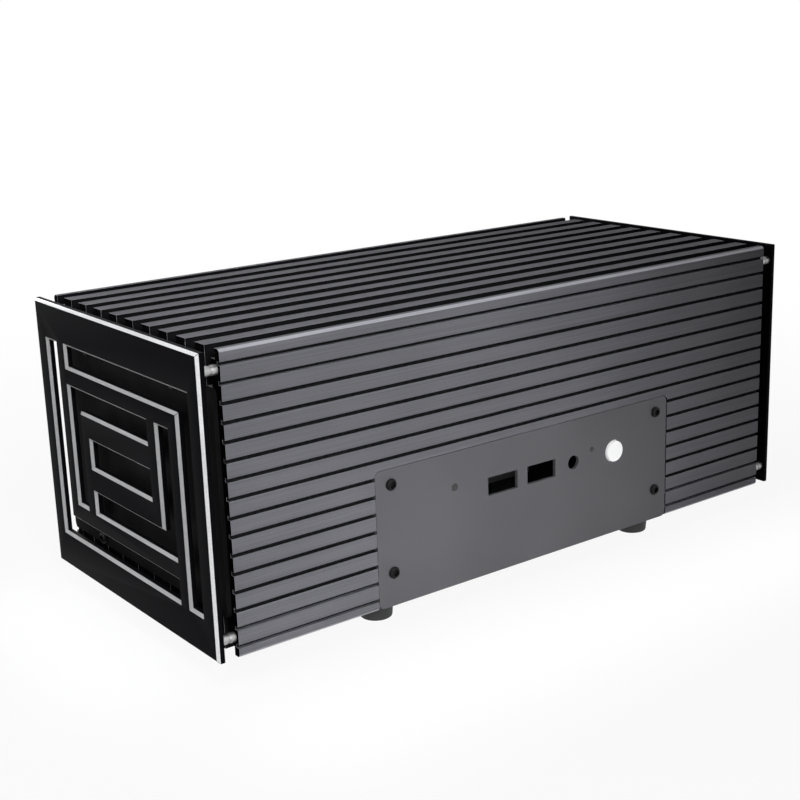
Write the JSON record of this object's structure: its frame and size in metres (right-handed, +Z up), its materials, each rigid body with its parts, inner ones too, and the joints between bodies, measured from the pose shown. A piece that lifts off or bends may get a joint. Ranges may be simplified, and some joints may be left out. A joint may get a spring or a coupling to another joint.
{
  "type": "fanless mini computer case",
  "caption": "Long low computer case of two finned aluminium shells, with labyrinth end panels on pins, port plates front and rear, soft feet and a push button.",
  "frame": {"origin": "on the floor under the middle of the case", "axes": "+X along the length, +Y from the front port plate to the rear, +Z up"},
  "size_m": [0.254, 0.1156, 0.1033],
  "materials": {
    "shell": "dark grey anodised extrusion with fine brushing along its length",
    "end_panel": "black anodised with bright machined chamfers",
    "pin": "bright turned metal",
    "end_plate": "matt black coat",
    "port_plate": "dark grey anodised sheet, plain",
    "screw": "black oxide",
    "inner_screw": "plain zinc",
    "button": "glossy white",
    "carrier": "moulded black",
    "lamp": "clear moulded",
    "lens": "dark smoked",
    "post": "turned",
    "block": "milled",
    "tray": "black coat",
    "foot": "moulded black",
    "plug": "moulded black"
  },
  "bodies": {
    "case": {"lower_shell": "shell", "upper_shell": "shell", "left_end_panel": "end_panel", "right_end_panel": "end_panel", "left_panel_pins": "pin", "right_panel_pins": "pin", "left_end_plate": "end_plate", "right_end_plate": "end_plate", "front_io_plate": "port_plate", "rear_io_plate": "port_plate", "front_io_screws": "screw", "rear_io_screws": "screw", "left_end_screws": "screw", "right_end_screws": "screw", "foot_screws": "screw", "block_screws": "inner_screw", "tray_screws": "inner_screw", "carrier_screws": "inner_screw", "button_carrier": "carrier", "lamp_guide": "lamp", "sensor_lens": "lens", "board_posts": "post", "processor_block": "block", "drive_tray": "tray", "front_left_foot": "foot", "front_right_foot": "foot", "rear_left_foot": "foot", "rear_right_foot": "foot", "aerial_plugs": "plug"},
    "power_button": {"power_button": "button"}
  },
  "joints": [
    {"name": "power_button_press", "type": "slide", "parent": "case", "child": "power_button", "axis": [0, 1, 0], "range_m": [0, 0.001], "stiffness_N_per_m": 1200}
  ]
}
